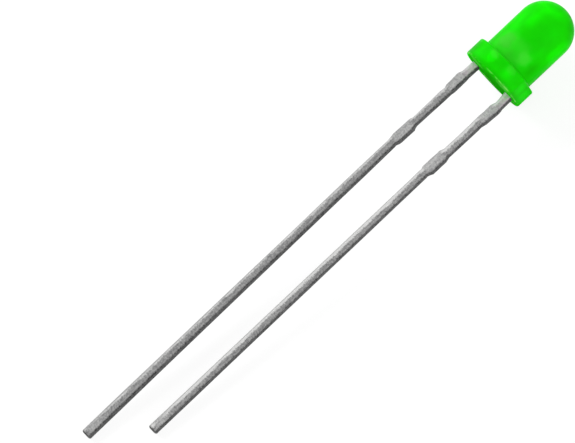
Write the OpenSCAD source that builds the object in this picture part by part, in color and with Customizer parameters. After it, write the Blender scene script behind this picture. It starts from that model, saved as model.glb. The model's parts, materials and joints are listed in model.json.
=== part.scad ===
// Round through hole LED with a diffused green lens and two long leads.
//
// Each piece is drawn on the LED's own axis: the seating plane is z = 0, the dome points to +Z,
// the anode is on +Y and the cathode on -Y. The finished LED is then laid down as it rests on a
// table, on the rim of its flange and the tips of both leads, with the dome towards +X.

/* [Lens] */
// Diameter of the barrel and of the dome on top of it
barrel_d = 3.1; // [2.6:0.05:3.8]
// Height from the seating plane to the tip of the dome
lens_h = 5.2; // [4.4:0.05:7]
// Height of the flange
flange_h = 1.1; // [0.9:0.05:1.4]
// How far the flange stands out beyond the barrel, or the leads if they reach further
flange_ledge = 0.35; // [0.28:0.01:0.6]
// How deep the flat that marks the cathode is cut into the flange
flat_depth = 0.22; // [0.05:0.01:0.25]
// Radius on the flange's two edges
flange_round = 0.1; // [0.02:0.01:0.14]
// Radius in the corner between flange and barrel
root_round = 0.06; // [0.02:0.01:0.1]
// Least thickness of epoxy between the barrel's surface and the leadframe
lens_wall = 0.3; // [0.2:0.01:0.36]

/* [Leads] */
// Distance between the leads' centres at the seating plane
lead_pitch = 2.54; // [2.1:0.01:3.1]
// Side of the square lead
lead_w = 0.42; // [0.34:0.01:0.52]
// Radius on the lead's long edges
lead_round = 0.07; // [0.03:0.01:0.1]
// Length of the anode lead below the seating plane
anode_l = 27.4; // [20:0.1:33]
// Length of the cathode lead below the seating plane
cathode_l = 24.8; // [18:0.1:30]
// Angle by which each lead leans towards the other, in degrees
lead_lean = 0.17; // [0:0.01:0.3]

/* [Tie bar stubs] */
// Distance from the seating plane to the middle of the upper stubs
stub_upper_z = 1.4; // [1.2:0.05:1.8]
// Distance from the seating plane to the middle of the lower stubs
stub_lower_z = 5.05; // [3.8:0.05:6.5]
// Length of a stub along the lead
stub_l = 1.35; // [1:0.05:1.6]
// How far an upper stub stands out on each side of its lead
stub_upper_out = 0.05; // [0.02:0.01:0.1]
// How far a lower stub stands out on each side of its lead
stub_lower_out = 0.07; // [0.02:0.01:0.1]
// Length of the slope at each end of a stub
stub_slope = 0.16; // [0.05:0.01:0.3]

/* [Leadframe inside the lens] */
// Height of the leadframe's top above the seating plane
frame_top = 2.3; // [2.1:0.05:2.8]
// Thickness of the leadframe's sheet inside the lens
frame_t = 0.38; // [0.3:0.01:0.46]
// Height to which a lead keeps its square section inside the flange
lead_in = 0.4; // [0.3:0.05:0.5]
// Height at which the leadframe starts to bend inwards
foot_top = 0.55; // [0.5:0.05:0.8]
// Depth of the reflector cup
cup_depth = 0.34; // [0.26:0.01:0.42]
// Slope of the cup's wall from the axis, in degrees
cup_slope = 26; // [15:1:32]
// Width of the cup's rim
cup_rim = 0.1; // [0.06:0.01:0.14]
// Height of the round head that holds the cup
head_h = 0.55; // [0.45:0.01:0.7]
// Least gap between the anode post and the cathode anvil
frame_gap = 0.18; // [0.12:0.01:0.22]
// Height of the anode post's wider top
post_top_h = 0.35; // [0.2:0.01:0.45]
// How far the post's top reaches in beyond its neck
post_lip = 0.14; // [0.05:0.01:0.25]

/* [Chip and bond wire] */
// Side of the square chip
die_w = 0.25; // [0.2:0.01:0.3]
// Height of the chip
die_h = 0.16; // [0.1:0.01:0.2]
// Thickness of the adhesive under the chip
attach_t = 0.02; // [0.01:0.005:0.03]
// How far the adhesive spreads beyond the chip's corners
attach_spread = 0.02; // [0.01:0.005:0.03]
// Width of the bare cup floor around the adhesive
floor_margin = 0.03; // [0.02:0.01:0.05]
// Diameter of the bond wire
wire_d = 0.03; // [0.025:0.005:0.04]
// Height of the wire's loop above the leadframe's top
loop_h = 0.24; // [0.15:0.01:0.3]
// Diameter of the ball bond on the chip, and of the stitch on the post
bond_d = 0.08; // [0.06:0.01:0.1]
// Thickness of the ball bond and of the stitch
bond_t = 0.045; // [0.045:0.005:0.06]

/* [Hidden] */
$fn = 96;

// Colour of the tinned leads
tin_grey = [0.72, 0.72, 0.73];
// A cut runs past the surface that it opens by this much
cut_past = 1;
// Short sides in the arc at each corner of a lead's outline
corner_steps = 4;

// Lens
barrel_r = barrel_d / 2;
dome_z = lens_h - barrel_r;
lead_reach = lead_pitch / 2 + lead_w / 2;
flange_r = max(barrel_r, lead_reach) + flange_ledge;
flat_y = flange_r - flat_depth;

// Chip, cup and head, from the inside out
attach_r = die_w / sqrt(2) + attach_spread;
cup_floor_r = attach_r + floor_margin;
cup_mouth_r = cup_floor_r + cup_depth * tan(cup_slope);
head_r = cup_mouth_r + cup_rim;
cup_floor_z = frame_top - cup_depth;
die_z = cup_floor_z + attach_t;
die_top = die_z + die_h;

// Leadframe: the sheet starts inside the lead, set back from its sides, and bends inwards to
// clear the barrel; the anvil's top runs a little way into the round head
set_back = 0.02;
frame_lap = 0.12;
frame_reach = barrel_r - lens_wall;
foot_out = lead_reach - set_back;
foot_in = lead_reach - lead_w + set_back;
foot_bottom = lead_in - frame_lap;
shoulder_z = flange_h + frame_lap;
head_z = frame_top - head_h;
anvil_r = head_r - cup_rim;
post_in = head_r + frame_gap;
neck_in = post_in + post_lip;
post_top_z = frame_top - post_top_h;

// Bond wire: it rises steeply from the ball, bends over and slopes down to the stitch
bond_sides = 12;
wire_sides = 6;
wire_steps = 14;
wire_start = [0, 0, die_top + bond_t / 2];
wire_end = [0, (post_in + frame_reach) / 2, frame_top + bond_t / 2];
wire_peak = frame_top + loop_h;
// Powers that keep the loop upright over the ball and bring its peak near to it
loop_upright = 1.6;
loop_early = 0.6;

// Where the tips of the leads are, along the axis and out from it
anode_tip_z = anode_l * cos(lead_lean);
anode_tip_y = lead_pitch / 2 - anode_l * sin(lead_lean);
cathode_tip_z = cathode_l * cos(lead_lean);
cathode_tip_y = lead_pitch / 2 - cathode_l * sin(lead_lean);

// Rest: the roll and the pitch that bring the flange's rim and both tips to one level
tip_slope = (anode_tip_z - cathode_tip_z) / (anode_tip_y + cathode_tip_y);
tip_arm = cathode_tip_z + cathode_tip_y * tip_slope + flange_round;
first_pitch = atan((flange_r - lead_corner(0)) / tip_arm);
first_roll = asin(tip_slope * tan(first_pitch));
rest_pitch = atan((flange_r - lead_corner(first_roll)) / tip_arm);
rest_roll = asin(tip_slope * tan(rest_pitch));
rim_drop = (flange_r - flange_round) * cos(rest_pitch) + flange_round * (1 - sin(rest_pitch));

// The origin lies under the middle of the LED's box, on the surface that it rests on
far_x = dome_z * cos(rest_pitch) + barrel_r;
near_x = min(tip_x(anode_tip_z, anode_tip_y), tip_x(cathode_tip_z, -cathode_tip_y));
flat_half = sqrt(pow(flange_r, 2) - pow(flat_y, 2));
near_y = -flat_y * cos(rest_roll) - flat_half * abs(sin(rest_roll));
rest_shift = [-(far_x + near_x) / 2, -(flange_r + near_y) / 2, rim_drop];

// How far the lead's rounded corner reaches below its centre when the LED is rolled by angle a
function lead_corner(a) = (lead_w / 2 - lead_round) * (abs(sin(a)) + cos(a)) + lead_round;

// Where the upper edge of a lead's tip lies along the table, for a tip z down the axis and y out
function tip_x(z, y) =
    -z * cos(rest_pitch) - (y * sin(rest_roll) + lead_corner(rest_roll)) * sin(rest_pitch);

// Outline of a square of side w with corners of radius r, each an arc of a few short sides
function rounded_square(w, r) = [
    for (corner = [0 : 3], step = [0 : corner_steps])
        let (
            a = 90 * (corner + step / corner_steps),
            diagonal = 90 * corner + 45,
            m = (w / 2 - r) * sqrt(2)
        )
        [m * cos(diagonal) + r * cos(a), m * sin(diagonal) + r * sin(a)]
];

// Point on the bond wire's loop, t from 0 at the ball to 1 at the stitch
function loop_point(t) =
    let (
        across = pow(t, loop_upright),
        rise = sin(180 * pow(t, loop_early)),
        chord = wire_start + (wire_end - wire_start) * t
    )
    [0, wire_end[1] * across, chord[2] + (wire_peak - chord[2]) * rise];

// Corners of the ring round point i of a path that stays in the plane x = 0
function loop_ring(path, i) =
    let (
        last = len(path) - 1,
        along = path[min(i + 1, last)] - path[max(i - 1, 0)],
        side = [0, -along[2], along[1]] / norm(along)
    )
    [for (k = [0 : wire_sides - 1])
        path[i] + wire_d / 2 * (cos(360 * k / wire_sides) * [1, 0, 0] + sin(360 * k / wire_sides) * side)];

// The LED laid down at rest
module at_rest() {
    translate(rest_shift)
        rotate([rest_roll, -rest_pitch, 0])
            rotate([0, 90, 0])
                children();
}

// Half section of the lens: barrel, dome, rounded flange and the fillet at the barrel's foot
module lens_section() {
    square([barrel_r, dome_z]);
    translate([0, dome_z])
        intersection() {
            circle(barrel_r);
            square(barrel_r);
        }
    square([flange_r - flange_round, flange_h]);
    translate([0, flange_round])
        square([flange_r, flange_h - 2 * flange_round]);
    for (z = [flange_round, flange_h - flange_round])
        translate([flange_r - flange_round, z])
            circle(flange_round);
    translate([barrel_r, flange_h])
        difference() {
            square(root_round);
            translate([root_round, root_round])
                circle(root_round);
        }
}

// Space beyond the cathode's flat
module flat_cut() {
    translate([-flange_r - cut_past, -flat_y - flange_r, -cut_past])
        cube([2 * (flange_r + cut_past), flange_r, flange_h + 2 * cut_past]);
}

// The cast epoxy, with everything that it holds taken out of it
module lens() {
    color([0.13, 0.82, 0.08])
        at_rest()
            difference() {
                rotate_extrude()
                    lens_section();
                flat_cut();
                cathode_shape();
                anode_shape();
                die_shape();
                attach_shape();
                wire_shape();
            }
}

// One stub: the lead's full thickness, wider than it, with sloped ends
module stub(z, out) {
    half = lead_w / 2 + out;
    core = lead_w / 2 - lead_round;
    full = stub_l / 2 - stub_slope;
    rotate([90, 0, 90])
        translate([0, -z, -lead_w / 2])
            linear_extrude(lead_w)
                polygon([[core, -stub_l / 2], [half, -full], [half, full], [core, stub_l / 2],
                         [-core, stub_l / 2], [-half, full], [-half, -full], [-core, -stub_l / 2]]);
}

// A lead with its two stubs; side is 1 for the anode and -1 for the cathode
module lead(side, length) {
    translate([0, side * lead_pitch / 2, 0])
        rotate([-side * lead_lean, 0, 0]) {
            translate([0, 0, -length])
                linear_extrude(length + lead_in)
                    polygon(rounded_square(lead_w, lead_round));
            stub(stub_upper_z, stub_upper_out);
            stub(stub_lower_z, stub_lower_out);
        }
}

// A piece of the leadframe's sheet, from its outline across and up
module sheet(outline) {
    rotate([90, 0, 90])
        translate([0, 0, -frame_t / 2])
            linear_extrude(frame_t)
                polygon(outline);
}

// The cathode: lead, anvil, and the round head with the reflector cup
module cathode_shape() {
    difference() {
        union() {
            lead(-1, cathode_l);
            sheet([[-foot_in, foot_bottom], [-foot_in, foot_top], [anvil_r, shoulder_z],
                   [anvil_r, head_z + frame_lap], [-anvil_r, head_z + frame_lap],
                   [-frame_reach, head_z - frame_lap], [-frame_reach, shoulder_z],
                   [-foot_out, foot_top], [-foot_out, foot_bottom]]);
            translate([0, 0, head_z])
                cylinder(h = head_h, r = head_r);
        }
        translate([0, 0, cup_floor_z])
            cylinder(h = cup_depth, r1 = cup_floor_r, r2 = cup_mouth_r);
    }
}

module cathode_lead() {
    color(tin_grey)
        at_rest()
            cathode_shape();
}

// The anode: lead, neck, and the wider top that the bond wire is stitched to
module anode_shape() {
    lead(1, anode_l);
    sheet([[foot_in, foot_bottom], [foot_out, foot_bottom], [foot_out, foot_top],
           [frame_reach, shoulder_z], [frame_reach, frame_top], [post_in, frame_top],
           [post_in, post_top_z], [neck_in, post_top_z - post_lip], [neck_in, shoulder_z],
           [foot_in, foot_top]]);
}

module anode_lead() {
    color(tin_grey)
        at_rest()
            anode_shape();
}

module die_shape() {
    translate([-die_w / 2, -die_w / 2, die_z])
        cube([die_w, die_w, die_h]);
}

module led_die() {
    color([0.45, 0.4, 0.2])
        at_rest()
            die_shape();
}

module attach_shape() {
    translate([0, 0, cup_floor_z])
        cylinder(h = attach_t, r = attach_r);
}

module die_attach() {
    color([0.62, 0.62, 0.64])
        at_rest()
            attach_shape();
}

// The bond wire: ball, loop and stitch in one piece
module wire_shape() {
    path = [for (i = [0 : wire_steps]) loop_point(i / wire_steps)];
    points = [for (i = [0 : wire_steps]) each loop_ring(path, i)];
    n = wire_sides;
    walls = [
        for (i = [0 : wire_steps - 1], k = [0 : n - 1])
            [i * n + k, i * n + (k + 1) % n, (i + 1) * n + (k + 1) % n, (i + 1) * n + k]
    ];
    first_cap = [for (k = [n - 1 : -1 : 0]) k];
    last_cap = [for (k = [0 : n - 1]) wire_steps * n + k];
    polyhedron(points, concat(walls, [first_cap, last_cap]));
    translate([0, 0, die_top])
        cylinder(h = bond_t, d = bond_d, $fn = bond_sides);
    translate([0, wire_end[1], frame_top])
        cylinder(h = bond_t, d = bond_d, $fn = bond_sides);
}

module bond_wire() {
    color([0.95, 0.75, 0.3])
        at_rest()
            wire_shape();
}

lens();
cathode_lead();
anode_lead();
led_die();
die_attach();
bond_wire();
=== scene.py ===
# %% [markdown]
# # A through hole LED
#
# A through hole LED is a chip of crystal, held in a little metal cup and cast in coloured epoxy.
# Two stamped leads carry the current. This lesson dresses the CAD model of one: each CAD node is
# replaced by a finer piece with the same sizes, and each piece gets a material of its own.
#
# What it doesn't hold, such as the leads' slightly uneven edges, is given in millimetres on the
# LED's own axes and keeps to the CAD model's box.

# %% Load the CAD frame
import json
import math
from functools import partial

import bmesh
import bpy
from mathutils import Matrix, Quaternion, Vector

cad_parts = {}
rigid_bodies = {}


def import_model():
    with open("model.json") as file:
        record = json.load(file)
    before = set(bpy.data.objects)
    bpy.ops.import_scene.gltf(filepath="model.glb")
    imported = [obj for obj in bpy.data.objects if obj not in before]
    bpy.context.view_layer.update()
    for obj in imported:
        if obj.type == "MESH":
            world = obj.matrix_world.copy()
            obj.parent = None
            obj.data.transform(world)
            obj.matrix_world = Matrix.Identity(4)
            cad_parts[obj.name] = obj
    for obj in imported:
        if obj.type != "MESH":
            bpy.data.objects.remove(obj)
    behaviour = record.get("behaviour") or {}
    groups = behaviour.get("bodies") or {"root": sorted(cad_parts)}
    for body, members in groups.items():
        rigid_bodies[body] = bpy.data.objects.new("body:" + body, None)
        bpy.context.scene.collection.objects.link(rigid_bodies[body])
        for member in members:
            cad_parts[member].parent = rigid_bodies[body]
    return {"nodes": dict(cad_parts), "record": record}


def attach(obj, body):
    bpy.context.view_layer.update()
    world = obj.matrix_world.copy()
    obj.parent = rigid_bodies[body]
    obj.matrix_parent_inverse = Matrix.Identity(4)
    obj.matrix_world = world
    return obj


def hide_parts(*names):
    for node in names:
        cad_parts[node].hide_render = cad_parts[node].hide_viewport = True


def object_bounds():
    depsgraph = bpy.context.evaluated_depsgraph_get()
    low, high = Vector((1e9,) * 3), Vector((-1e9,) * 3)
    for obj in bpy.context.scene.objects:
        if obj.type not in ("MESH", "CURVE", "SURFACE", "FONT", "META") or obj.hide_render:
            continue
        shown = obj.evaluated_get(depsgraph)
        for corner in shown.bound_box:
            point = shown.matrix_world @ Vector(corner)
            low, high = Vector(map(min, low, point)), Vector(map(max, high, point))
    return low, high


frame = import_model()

cad_low, cad_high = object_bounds()
print("CAD nodes:", sorted(frame["nodes"]))
print("CAD box in mm:", [round(1000 * v, 3) for v in (*cad_low, *cad_high)])

# %% [markdown]
# ## The LED's own axes
#
# The LED lies on its side, a little tilted, so its parts are slanted in the world. They are much
# easier to draw on the LED's own axes: the seating plane is height 0, the dome points up, and the
# anode is on the +Y side. The record holds the seating face and the cathode's flat as mounts, and
# these two give all three axes. Shapes are drawn in millimetres on them, then set in place.

# %% Find the own axes in the record
MM = 0.001
mounts = {m["name"]: m for m in frame["record"]["mounts"]}
seat_centre = Vector(mounts["seating_face"]["pos_m"])
upward = -Vector(mounts["seating_face"]["axis"])
to_anode = -Vector(mounts["cathode_flat"]["axis"])
across = to_anode.cross(upward)
own_turn = Matrix((across, to_anode, upward)).transposed()
own_to_row = Matrix.Translation(seat_centre) @ own_turn.to_4x4() @ Matrix.Scale(MM, 4)
row_to_own = own_to_row.inverted()
print("dome points along", [round(v, 4) for v in upward])

# %% Measure CAD nodes on the own axes
def own_box(node):
    """Lowest and highest corner of a CAD node on the LED's own axes, in millimetres."""
    points = [row_to_own @ v.co for v in frame["nodes"][node].data.vertices]
    return [Vector(pick(p[i] for p in points) for i in range(3)) for pick in (min, max)]


lens_low, lens_high = own_box("lens")
chip_low, chip_high = own_box("led_die")
glue_low, glue_high = own_box("die_attach")
anode_low, anode_high = own_box("anode_lead")
anode_length = -anode_low.z
cathode_length = -own_box("cathode_lead")[0].z
wire_top = own_box("bond_wire")[1].z

barrel_radius = mounts["lens_barrel"]["dims"]["r_mm"]
lens_height = lens_high.z
flange_radius = lens_high.y
flat_distance = -lens_low.y
frame_top = anode_high.z
print("lens height %.3f, flange radius %.3f" % (lens_height, flange_radius))
print("flat at %.3f, chip top %.3f, frame top %.3f" % (flat_distance, chip_high.z, frame_top))

# %% [markdown]
# ## Helpers for node trees
#
# Everything on an LED follows a simple rule: a stamping has one outline, the lens is a turned
# shape, the wire follows a curve. Such rules suit Geometry Nodes: a tree takes the sizes and
# builds the piece, which is then kept as a plain mesh. The helpers below only shorten the writing
# of a tree.


# %% Short ways to write a node tree
def new_group(name, kind, inputs, outputs):
    """An empty tree with named sockets, and the sockets of its input and output nodes."""
    tree = bpy.data.node_groups.new(name, kind)
    for label, sort, value in inputs:
        socket = tree.interface.new_socket(label, in_out="INPUT", socket_type="NodeSocket" + sort)
        if value is not None:
            socket.default_value = value
    for label, sort in outputs:
        tree.interface.new_socket(label, in_out="OUTPUT", socket_type="NodeSocket" + sort)
    return tree, tree.nodes.new("NodeGroupInput").outputs, tree.nodes.new("NodeGroupOutput").inputs


def new_tree(name, inputs):
    """A geometry tree that takes and gives a Geometry, with named inputs besides."""
    inputs = [("Geometry", "Geometry", None), *inputs]
    made = new_group(name, "GeometryNodeTree", inputs, [("Geometry", "Geometry")])
    made[0].is_modifier = True
    return made


def feed(tree, node, inputs):
    """Feeds a node's inputs with values or with other nodes' outputs."""
    for key, value in inputs.items():
        if isinstance(value, bpy.types.NodeSocket):
            tree.links.new(value, node.inputs[key])
        else:
            node.inputs[key].default_value = value


def add(tree, kind, inputs=None, **settings):
    """Adds a node, sets it up and feeds it."""
    node = tree.nodes.new(kind)
    for name, value in settings.items():
        setattr(node, name, value)
    feed(tree, node, inputs or {})
    return node


def maths(tree, operation, *values, clamp=False):
    """The output of a Math node."""
    inputs = dict(enumerate(values))
    return add(tree, "ShaderNodeMath", inputs, operation=operation, use_clamp=clamp).outputs[0]


def named(tree, name):
    """The field of a float attribute."""
    return add(tree, "GeometryNodeInputNamedAttribute", {"Name": name}).outputs[0]


# %% Turn a tree's result into a plain mesh in its place
def station_mesh(name, points, **attributes):
    """A chain of points, each carrying the values that a tree reads."""
    mesh = bpy.data.meshes.new(name)
    mesh.from_pydata(points, [(i, i + 1) for i in range(len(points) - 1)], [])
    for key, values in attributes.items():
        layer = mesh.attributes.new(key, "FLOAT", "POINT")
        layer.data.foreach_set("value", [float(v) for v in values])
    return mesh


def grown(name, mesh, tree, material, **sizes):
    """Runs a tree on a mesh and returns the mesh that it makes, still on the own axes."""
    seed = bpy.data.objects.new(name + "_stations", mesh)
    bpy.context.scene.collection.objects.link(seed)
    modifier = seed.modifiers.new(tree.name, "NODES")
    modifier.node_group = tree
    labels = {i.name: i.identifier for i in tree.interface.items_tree if i.in_out == "INPUT"}
    for label, value in {**sizes, "Material": material}.items():
        modifier[labels[label.replace("_", " ")]] = value
    depsgraph = bpy.context.evaluated_depsgraph_get()
    made = bpy.data.meshes.new_from_object(seed.evaluated_get(depsgraph))
    seed.modifiers.clear()
    bpy.data.objects.remove(seed)
    return made


def set_down(name, mesh, sharp):
    """Turns a mesh on the own axes into a piece in its place, with its faces outwards.

    Edges that bend by more than `sharp` degrees stay sharp.
    """
    shape = bmesh.new()
    shape.from_mesh(mesh)
    volume = shape.calc_volume(signed=True)
    open_edges = sum(not e.is_manifold for e in shape.edges)
    shape.free()
    if volume < 0:
        mesh.flip_normals()
    mesh.name = name
    mesh.transform(own_to_row)
    mesh.shade_smooth()
    mesh.set_sharp_from_angle(angle=math.radians(sharp))
    piece = bpy.data.objects.new(name, mesh)
    bpy.context.scene.collection.objects.link(piece)
    faces = len(mesh.polygons)
    print("%s: %d faces, %.4f mm3, %d open edges" % (name, faces, abs(volume), open_edges))
    return piece


# %% [markdown]
# ## Shader groups that the finishes share
#
# Every finish here is fine: tin has streaks a few hundredths of a millimetre apart. Two effects
# turn up in more than one material, so each is a group, built once. The first turns a place in
# the row's frame into millimetres on the LED's own axes, so that a pattern can follow the leads.
# The second gives two kinds of grain: specks that are the same in every direction, and streaks
# drawn out along the leads.

# %% Group: own axes in millimetres
own_axes_group, own_in, own_out = new_group(
    "own_axes", "ShaderNodeTree", [("Object", "Vector", None)], [("Place", "Vector")]
)
to_own = add(
    own_axes_group,
    "ShaderNodeMapping",
    {
        "Vector": own_in["Object"],
        "Location": seat_centre,
        "Rotation": own_turn.to_euler(),
        "Scale": (MM, MM, MM),
    },
    vector_type="TEXTURE",
)
own_axes_group.links.new(to_own.outputs[0], own_out["Place"])
print("group own_axes: Object coordinates in metres to millimetres on the LED's axes")

# %% Group: specks and streaks
grain_group, grain_in, grain_out = new_group(
    "grain",
    "ShaderNodeTree",
    [
        ("Place", "Vector", None),
        ("Speck scale", "Float", 8.0),
        ("Streak scale", "Float", 14.0),
        ("Streak length", "Float", 12.0),
    ],
    [("Specks", "Float"), ("Streaks", "Float")],
)
speck_size = {"Scale": grain_in["Speck scale"], "Detail": 4.0, "Roughness": 0.6}
specks = add(grain_group, "ShaderNodeTexNoise", {"Vector": grain_in["Place"], **speck_size})
streak_rate = maths(grain_group, "DIVIDE", 1.0, grain_in["Streak length"])
streak_stretch = add(grain_group, "ShaderNodeCombineXYZ", {0: 1.0, 1: 1.0, 2: streak_rate})
drawn_out = add(
    grain_group,
    "ShaderNodeVectorMath",
    {0: grain_in["Place"], 1: streak_stretch.outputs[0]},
    operation="MULTIPLY",
)
streaks = add(
    grain_group,
    "ShaderNodeTexNoise",
    {"Vector": drawn_out.outputs[0], "Scale": grain_in["Streak scale"], "Detail": 3.0},
)
grain_group.links.new(specks.outputs["Fac"], grain_out["Specks"])
grain_group.links.new(streaks.outputs["Fac"], grain_out["Streaks"])
print("group grain: specks and streaks")


# %% Start of every finish
def new_finish(name):
    """A material with a Principled BSDF and the place on the own axes."""
    material = bpy.data.materials.new(name)
    material.use_nodes = True
    tree = material.node_tree
    where = add(tree, "ShaderNodeTexCoord").outputs["Object"]
    place = add(tree, "ShaderNodeGroup", node_tree=own_axes_group)
    feed(tree, place, {"Object": where})
    return material, tree, tree.nodes["Principled BSDF"], place.outputs["Place"]


def grain_of(tree, place, **sizes):
    """The grain group in a material, with that material's own sizes."""
    node = add(tree, "ShaderNodeGroup", node_tree=grain_group)
    feed(tree, node, {"Place": place, **{k.replace("_", " "): v for k, v in sizes.items()}})
    return node.outputs["Specks"], node.outputs["Streaks"]


def spread(tree, value, low, high, from_low=0.3, from_high=0.7, kind="LINEAR"):
    """Spreads a value over a chosen range. The default limits hold most of a grain's values."""
    limits = {"From Min": from_low, "From Max": from_high, "To Min": low, "To Max": high}
    inputs = {"Value": value, **limits}
    return add(tree, "ShaderNodeMapRange", inputs, interpolation_type=kind).outputs["Result"]


def blend_colours(tree, factor, first, second):
    """A colour between two others."""
    colours = {"Factor": factor, 6: first, 7: second}
    return add(tree, "ShaderNodeMix", colours, data_type="RGBA").outputs[2]


def bumped(tree, shader, height, depth_mm, strength):
    """Feeds a height field to the shader's normal."""
    bump = {"Height": height, "Distance": depth_mm * MM, "Strength": strength}
    feed(tree, shader, {"Normal": add(tree, "ShaderNodeBump", bump).outputs["Normal"]})


# %% [markdown]
# ## Finish: tinned leads
#
# The leads are punched from steel strip and plated with dull tin, a little streaked along the
# lead and mottled across it. A painted highlight, a bright, ragged band, runs along each lead's
# edge on the anode's side, where light from behind catches the rounded corner. The side faces are
# painted dark as painted shade, and this painted shade reaches round the edge on the cathode's
# side. The stubs and the tips, which were cut last, are lighter and matte, and the cut end itself
# is dark. On the cathode lead the painted highlight and painted shade are shifted a hair across
# the lead, so its painted highlight looks wider. Near the lens the tin is painted lighter and a
# little pink, painted light against the lens's shade and green reflection. Inside the lens the
# frame is silver plated.
#
# The stampings' meshes carry three values, and the finish is worked out from these: one is 1 on
# the side faces, `across` runs from -1 to 1 over the lead's width, and `matte` is 1 on stubs and
# tips and -1 on the cut end.

# %% Tin plate: grain and marks
tin_plate, tin, tin_shader, tin_place = new_finish("dull_tin_plate")
tin_maths = partial(maths, tin)
tin_specks, tin_streaks = grain_of(
    tin, tin_place, Speck_scale=11.0, Streak_scale=11.0, Streak_length=7.0
)
_, tin_ripples = grain_of(tin, tin_place, Streak_scale=4.5, Streak_length=0.4)
_, tin_drift = grain_of(tin, tin_place, Streak_scale=1.3, Streak_length=1.2)
mottle = tin_maths("MULTIPLY_ADD", tin_ripples, 0.25, tin_maths("MULTIPLY", tin_specks, 0.5))
mottle = spread(tin, tin_maths("MULTIPLY_ADD", tin_streaks, 0.25, mottle), 0.0, 1.0, 0.42, 0.58)
shaded_side, matte, side_place = (
    add(tin, "ShaderNodeAttribute", attribute_name=name).outputs["Fac"]
    for name in ("shaded_side", "matte", "across")
)
_, lead_side, height_up = add(tin, "ShaderNodeSeparateXYZ", {0: tin_place}).outputs
print("tin grain:", len(tin.nodes), "nodes")

# %% Tin plate: colours
BARE_TIN = (0.285, 0.285, 0.29, 1), (0.52, 0.52, 0.515, 1)
MATTE_TIN = (0.44, 0.44, 0.445, 1), (0.68, 0.68, 0.67, 1)
# Painted light near the lens: lighter, pinker tin against the lens's shade and green reflection.
LENS_SIDE_LIGHT_TIN = (0.80, 0.70, 0.76, 1)
# Painted highlight: the bright band along each lead's anode-side edge, where light from behind
# would catch the rounded corner.
PAINTED_HIGHLIGHT_TIN = (0.95, 0.95, 0.94, 1), (0.58, 0.58, 0.575, 1)
# Painted shade on the side faces and round the cathode-side edge, and the dark of the cut end.
SHADE_AND_CUT_END_TIN = (0.025, 0.025, 0.025, 1), (0.14, 0.14, 0.14, 1)
SILVER_PLATE = (0.82, 0.82, 0.8, 1), (0.93, 0.93, 0.92, 1)
LENS_SIDE_SPAN = -1.1, -0.2
HIGHLIGHT_SPAN = 0.12, 0.5
HIGHLIGHT_EDGE_SPAN = 0.55, 0.8
SHADE_EDGE_SPAN = -0.86, -0.56
IN_LENS = 0.0, 0.5
# Shift of the cathode's painted highlight and painted shade across the lead, with a stronger
# painted highlight there.
CATHODE_PAINT_SHIFT = 0.24

flat_tin = blend_colours(
    tin, matte, blend_colours(tin, mottle, *BARE_TIN), blend_colours(tin, mottle, *MATTE_TIN)
)
# Painted light: the tin is lighter and pinker close to the lens.
lens_side_light = spread(tin, height_up, 0.0, 1.0, *LENS_SIDE_SPAN)
flat_tin = blend_colours(tin, lens_side_light, flat_tin, LENS_SIDE_LIGHT_TIN)

# On the cathode the painted highlight and painted shade are shifted across the lead.
cathode_paint_shift = tin_maths("MULTIPLY", tin_maths("LESS_THAN", lead_side, 0.0), CATHODE_PAINT_SHIFT)
ragged = tin_maths("ADD", *(spread(tin, grain, -0.2, 0.2) for grain in (tin_drift, tin_specks)))
# Painted highlight along the top face's anode-side edge, ragged, and weaker on stubs and tips.
highlight_place = tin_maths("ADD", tin_maths("ADD", side_place, cathode_paint_shift), ragged)
highlight_level = tin_maths("MULTIPLY_ADD", cathode_paint_shift, 1.5, spread(tin, tin_streaks, 0.55, 1.0))
highlight_level = tin_maths("MULTIPLY_ADD", matte, -0.9, highlight_level)
painted_highlight = tin_maths("MULTIPLY", spread(tin, highlight_place, 0.0, 1.0, *HIGHLIGHT_SPAN), highlight_level, clamp=True)
highlight_colour = blend_colours(tin, spread(tin, side_place, 0.0, 1.0, *HIGHLIGHT_EDGE_SPAN), *PAINTED_HIGHLIGHT_TIN)
face_with_highlight = blend_colours(tin, painted_highlight, flat_tin, highlight_colour)

# Painted shade: the side faces and the top face's cathode-side edge are darkened. The cut end is
# dark too.
shade_place = tin_maths("MULTIPLY_ADD", tin_specks, 0.3, side_place)
shade_place = tin_maths("MULTIPLY_ADD", cathode_paint_shift, 0.25, shade_place)
shade_and_cut_end = tin_maths("MAXIMUM", shaded_side, spread(tin, shade_place, 1.0, 0.0, *SHADE_EDGE_SPAN))
shade_and_cut_end = tin_maths("MAXIMUM", shade_and_cut_end, tin_maths("MULTIPLY", matte, -1.0))
outside = blend_colours(tin, shade_and_cut_end, face_with_highlight, blend_colours(tin, mottle, *SHADE_AND_CUT_END_TIN))
inside = blend_colours(tin, spread(tin, tin_specks, 0.0, 1.0), *SILVER_PLATE)
plating = blend_colours(tin, spread(tin, height_up, 0.0, 1.0, *IN_LENS), outside, inside)
print("tin colours:", len(tin.nodes), "nodes")

# %% Tin plate: surface
tin_rough = tin_maths("MULTIPLY_ADD", shade_and_cut_end, 0.12, spread(tin, tin_specks, 0.30, 0.44))
feed(tin, tin_shader, {"Base Color": plating, "Roughness": tin_rough, "Metallic": 0.9})
bumped(tin, tin_shader, tin_maths("MULTIPLY_ADD", mottle, 0.7, tin_streaks), 0.02, 0.5)
print("tin_plate:", len(tin.nodes), "nodes")

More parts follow.
